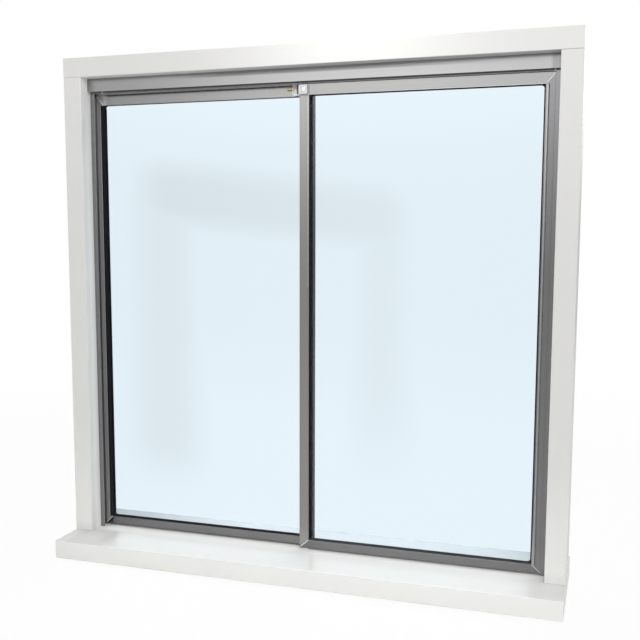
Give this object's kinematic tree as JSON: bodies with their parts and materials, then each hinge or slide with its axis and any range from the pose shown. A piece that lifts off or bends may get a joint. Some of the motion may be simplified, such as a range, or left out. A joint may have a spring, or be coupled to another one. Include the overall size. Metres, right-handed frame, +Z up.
{
  "type": "sliding concession window",
  "caption": "Square white-cased service window with overlapping aluminium-framed glass sashes hung from a twin head track above a deep sill board.",
  "frame": {"origin": "on the underside of the sill board, at mid width, straight below the front face of the casing boards", "axes": "+X to the right as seen by a customer, +Y into the wall, +Z up"},
  "size_m": [1, 0.235, 1.0025],
  "materials": {
    "casing_paint": "white semi-gloss paint on softwood boards",
    "track_aluminium": "satin mill-finish extrusion",
    "sash_aluminium": "satin mill-finish extrusion",
    "glazing_rubber": "matt black extruded rubber",
    "brush_pile": "dark woven weather pile",
    "pane_glass": "clear float glass, faintly blue",
    "guide_nylon": "white moulded nylon",
    "hanger_zinc": "bright zinc-plated steel",
    "catch_casting": "silver-white lacquered zinc casting",
    "pin_brass": "polished brass"
  },
  "bodies": {
    "root": {"head_board": "casing_paint", "left_jamb_board": "casing_paint", "right_jamb_board": "casing_paint", "sill_board": "casing_paint", "head_track": "track_aluminium", "left_frame_jamb": "track_aluminium", "right_frame_jamb": "track_aluminium", "left_sash_bottom_rail": "sash_aluminium", "left_sash_meeting_stile": "sash_aluminium", "left_sash_outer_stile": "sash_aluminium", "left_sash_top_rail": "sash_aluminium", "right_sash_bottom_rail": "sash_aluminium", "right_sash_glazing_bead": "sash_aluminium", "right_sash_meeting_stile": "sash_aluminium", "right_sash_outer_stile": "sash_aluminium", "right_sash_top_rail": "sash_aluminium", "left_sash_bottom_gasket": "glazing_rubber", "left_sash_glazing_wedge": "glazing_rubber", "left_sash_interlock_seal": "glazing_rubber", "left_sash_meeting_gasket": "glazing_rubber", "left_sash_outer_gasket": "glazing_rubber", "left_sash_top_gasket": "glazing_rubber", "right_sash_bottom_gasket": "glazing_rubber", "right_sash_meeting_gasket": "glazing_rubber", "right_sash_outer_gasket": "glazing_rubber", "right_sash_top_gasket": "glazing_rubber", "left_sash_top_brush": "brush_pile", "right_sash_top_brush": "brush_pile", "left_sash_glass": "pane_glass", "right_sash_glass": "pane_glass", "centre_guide": "guide_nylon", "left_sash_meeting_roller": "guide_nylon", "left_sash_outer_roller": "guide_nylon", "right_sash_meeting_roller": "guide_nylon", "right_sash_outer_roller": "guide_nylon", "left_sash_meeting_hanger": "hanger_zinc", "left_sash_outer_hanger": "hanger_zinc", "right_sash_meeting_hanger": "hanger_zinc", "right_sash_outer_hanger": "hanger_zinc", "catch_body": "catch_casting", "catch_hook": "catch_casting", "catch_pin": "pin_brass"}
  },
  "joints": []
}
